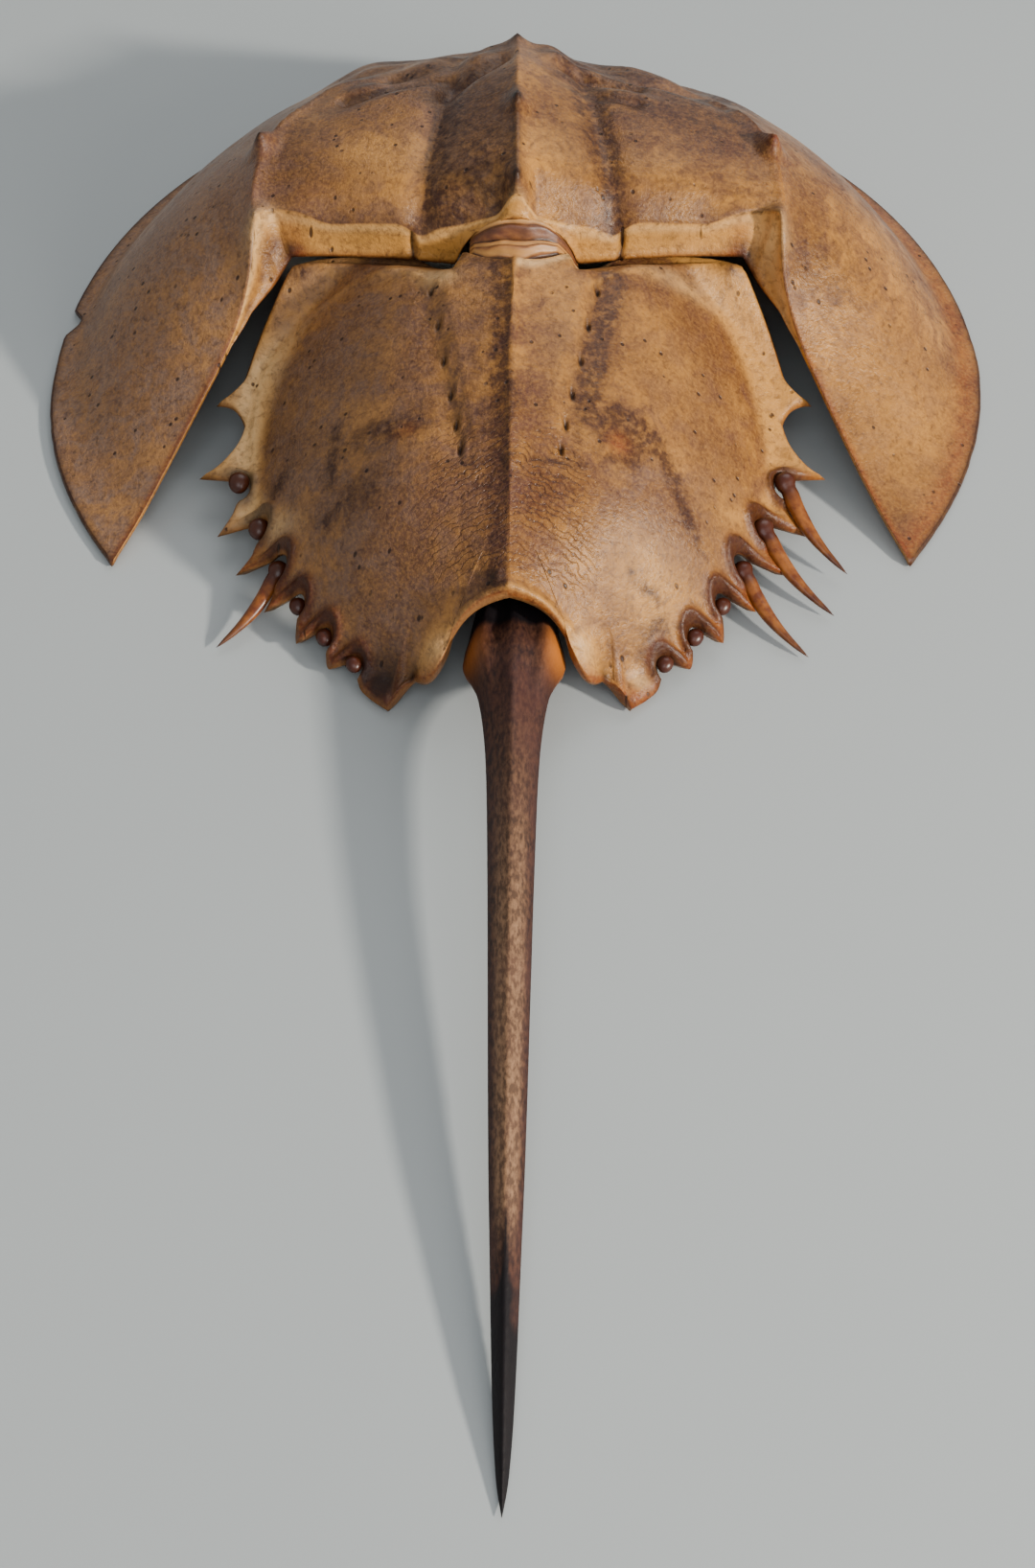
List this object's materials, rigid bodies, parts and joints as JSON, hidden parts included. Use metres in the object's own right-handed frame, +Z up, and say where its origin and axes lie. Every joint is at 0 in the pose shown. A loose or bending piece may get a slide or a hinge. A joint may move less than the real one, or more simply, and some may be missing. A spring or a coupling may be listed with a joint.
{
  "type": "horseshoe crab shell",
  "caption": "Dried horseshoe crab shell: a broad domed front plate with swept wings, a vaulted rear plate with a toothed margin and side spines, and a long tapering tail spine.",
  "frame": {"origin": "middle of the footprint, on the surface the shell lies on", "axes": "+Y towards the head, +Z up out of the domed back, +X to the animal's right"},
  "size_m": [0.2001, 0.3572, 0.0609],
  "materials": {
    "shell_plate": "dried chitin, satin, tan to purplish brown",
    "hinge_skin": "dried joint skin, dull reddish brown",
    "tail_horn": "dried chitin, rough, purplish brown to black",
    "spine_horn": "dried chitin, smooth, amber to dark brown"
  },
  "bodies": {
    "root": {"front_shell": "shell_plate", "rear_shell": "shell_plate", "hinge_skin": "hinge_skin", "tail_spine": "tail_horn", "side_spine_right_1": "spine_horn", "side_spine_right_2": "spine_horn", "side_spine_right_3": "spine_horn", "side_spine_right_4": "spine_horn", "side_spine_right_5": "spine_horn", "side_spine_right_6": "spine_horn", "side_spine_left_1": "spine_horn", "side_spine_left_2": "spine_horn", "side_spine_left_3": "spine_horn", "side_spine_left_4": "spine_horn", "side_spine_left_5": "spine_horn", "side_spine_left_6": "spine_horn"}
  },
  "joints": []
}
